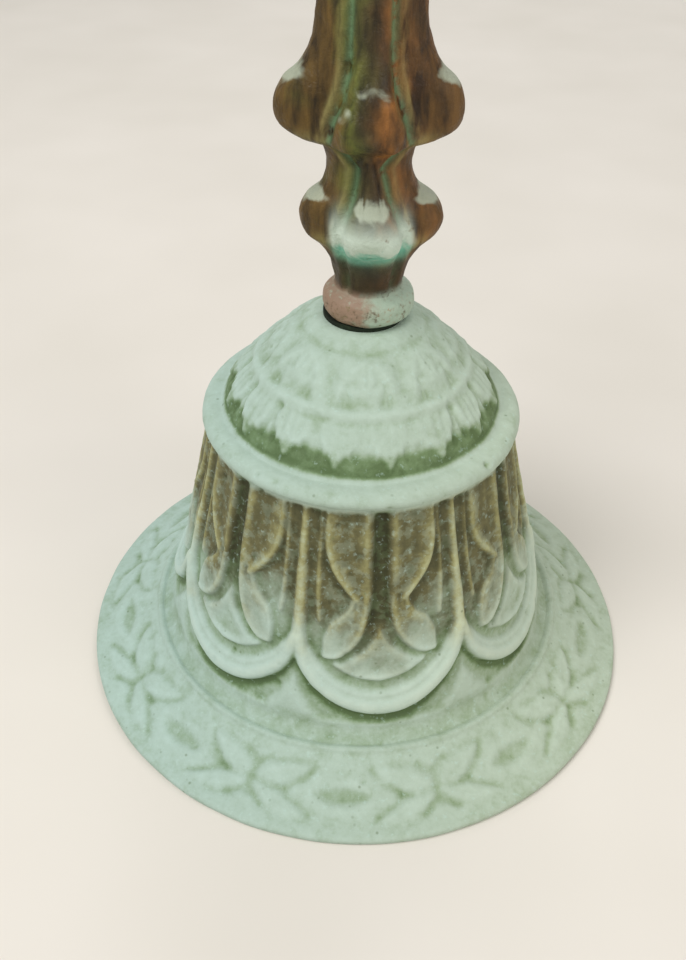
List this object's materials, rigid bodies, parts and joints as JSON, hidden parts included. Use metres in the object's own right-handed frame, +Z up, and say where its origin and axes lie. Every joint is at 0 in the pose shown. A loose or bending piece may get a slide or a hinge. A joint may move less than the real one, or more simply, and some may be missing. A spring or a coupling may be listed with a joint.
{
  "type": "sanctus bell",
  "caption": "Cast bronze altar hand bell with relief flange, lobed waist and leafy cross-topped handle; the clapper hangs on a link and swings inside.",
  "frame": {"origin": "centre of the mouth, on the plane that the lip rests on", "axes": "+Z up along the bell's axis; +X to the right of the cross on the handle; -Y is its front"},
  "size_m": [0.09, 0.09, 0.1524],
  "materials": {
    "bell_bronze": "old cast bronze under matt blue-green verdigris",
    "handle_bronze": "dark brown bronze with green verdigris in the hollows",
    "washer_leather": "old compressed leather",
    "clapper_iron": "forged iron, dark with brown rust",
    "fitting_brass": "dull aged brass",
    "ball_bronze": "worn bronze, brighter where it strikes"
  },
  "bodies": {
    "root": {"bell_shell": "bell_bronze", "handle": "handle_bronze", "finial_cross": "handle_bronze", "seat_washer": "washer_leather", "clapper_staple": "clapper_iron", "staple_washer": "fitting_brass", "staple_nut": "fitting_brass"},
    "link": {"clapper_link": "clapper_iron"},
    "clapper": {"clapper_rod": "clapper_iron", "clapper_ball": "ball_bronze", "ball_nut": "fitting_brass"}
  },
  "joints": [
    {"name": "link_swing", "type": "hinge", "parent": "root", "child": "link", "pos_m": [0, 0, 0.04676], "axis": [0, 1, 0], "range_deg": [-33, 33]},
    {"name": "clapper_sway", "type": "hinge", "parent": "link", "child": "clapper", "pos_m": [0, 0, 0.03664], "axis": [1, 0, 0], "range_deg": [-14, 14]}
  ]
}
